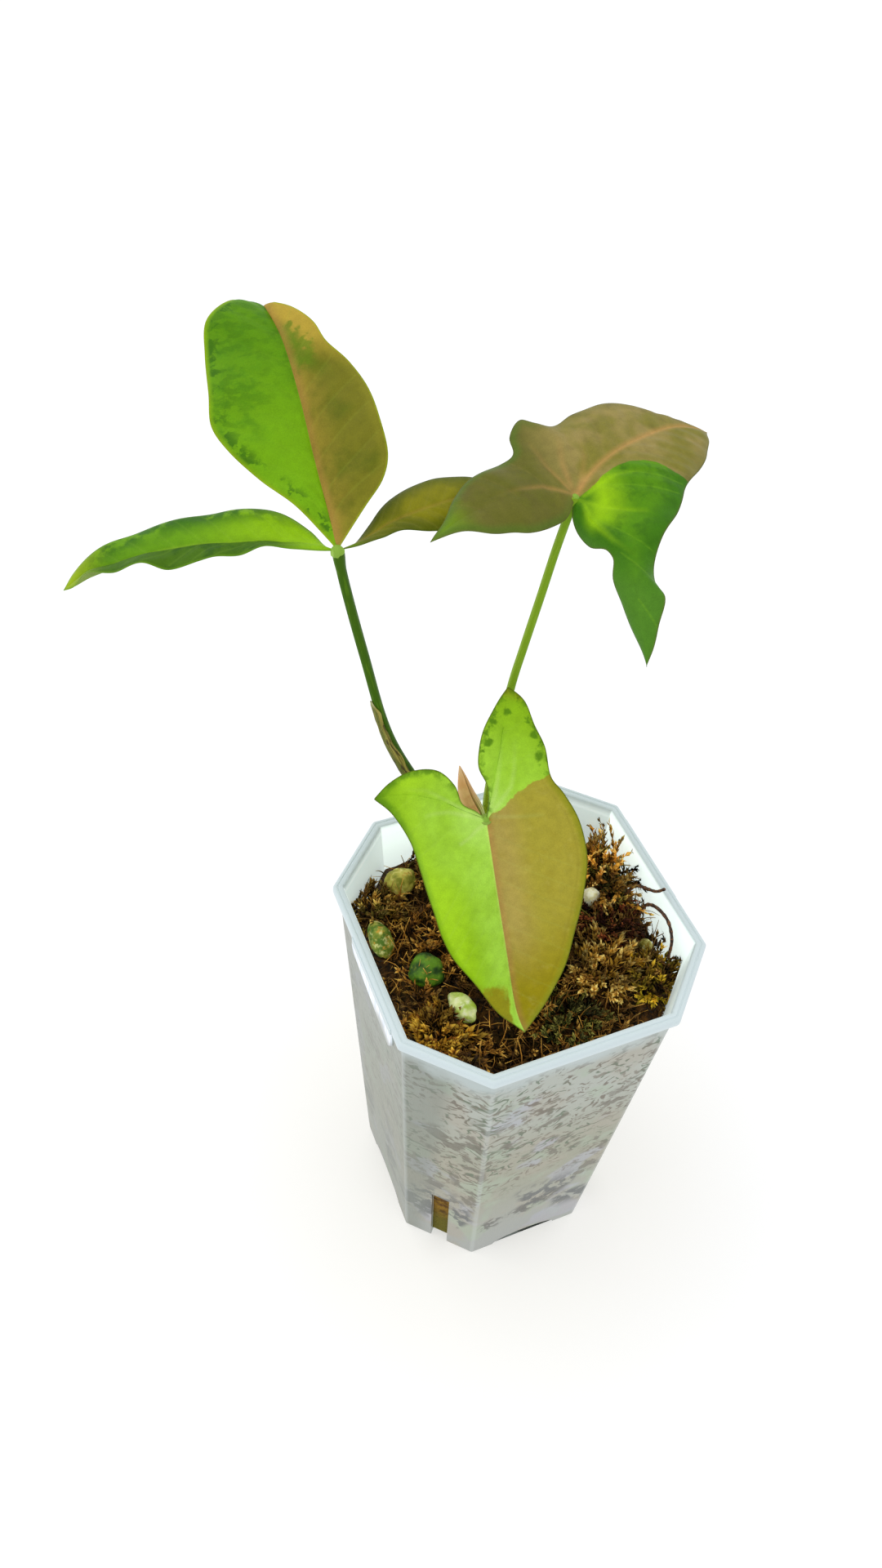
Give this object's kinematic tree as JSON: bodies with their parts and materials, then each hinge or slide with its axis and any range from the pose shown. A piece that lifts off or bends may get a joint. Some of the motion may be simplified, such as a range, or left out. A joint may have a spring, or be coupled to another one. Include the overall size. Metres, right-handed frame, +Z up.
{
  "type": "potted arrowhead plant",
  "caption": "Young variegated arrowhead plant with one compound leaf, two arrow-shaped leaves and a rolled new leaf, growing in moss in a clear square nursery pot.",
  "frame": {"origin": "middle of the pot's base, on the surface it stands on", "axes": "+Z up; X and Y square to the pot's sides; the front leaf points along -Y and the left leaf spreads over -X"},
  "size_m": [0.1302, 0.1183, 0.2149],
  "materials": {
    "pot_plastic": "milky translucent polypropylene, satin",
    "brown_moss": "damp brown sphagnum",
    "rust_moss": "rust sphagnum strands",
    "red_moss": "dark red-brown sphagnum strands",
    "gold_moss": "dry golden sphagnum strands",
    "olive_moss": "olive sphagnum strands",
    "green_moss": "live green sphagnum",
    "amber_moss": "amber sphagnum strands",
    "sage_moss": "grey-green sphagnum strands",
    "algae_lump": "pumice overgrown with wet green algae",
    "pale_lump": "pale rough pumice",
    "mottled_lump": "mottled green pumice",
    "white_lump": "white rough pumice",
    "green_stem": "green living stem",
    "left_petiole": "dark green living stalk, satin",
    "right_petiole": "yellow-green living stalk, satin",
    "front_petiole": "green living stalk, satin",
    "papery_sheath": "dry brown papery sheath",
    "rolled_leaf": "salmon-pink rolled leaf, satin",
    "wiry_root": "dark wiry root",
    "front_blade": "living leaf, half lime and half olive-pink, satin",
    "right_blade": "living leaf, olive-brown and green with pink veins, satin",
    "left_blade": "living leaf, lime and olive with dark green mottling, satin"
  },
  "bodies": {
    "root": {"pot": "pot_plastic", "moss_bed": "brown_moss", "moss_rust": "rust_moss", "moss_red": "red_moss", "moss_gold": "gold_moss", "moss_olive": "olive_moss", "moss_green": "green_moss", "moss_amber": "amber_moss", "moss_sage": "sage_moss", "moss_tan": "gold_moss", "lump_algae": "algae_lump", "lump_pale": "pale_lump", "lump_mottled": "mottled_lump", "lump_green": "mottled_lump", "lump_white": "white_lump", "lump_small": "pale_lump", "stem": "green_stem", "left_petiole": "left_petiole", "right_petiole": "right_petiole", "front_petiole": "front_petiole", "left_sheath": "papery_sheath", "new_leaf": "rolled_leaf", "wiry_root": "wiry_root", "moss_twig": "wiry_root", "front_leaf": "front_blade", "right_leaf": "right_blade", "left_leaf": "left_blade"}
  },
  "joints": []
}
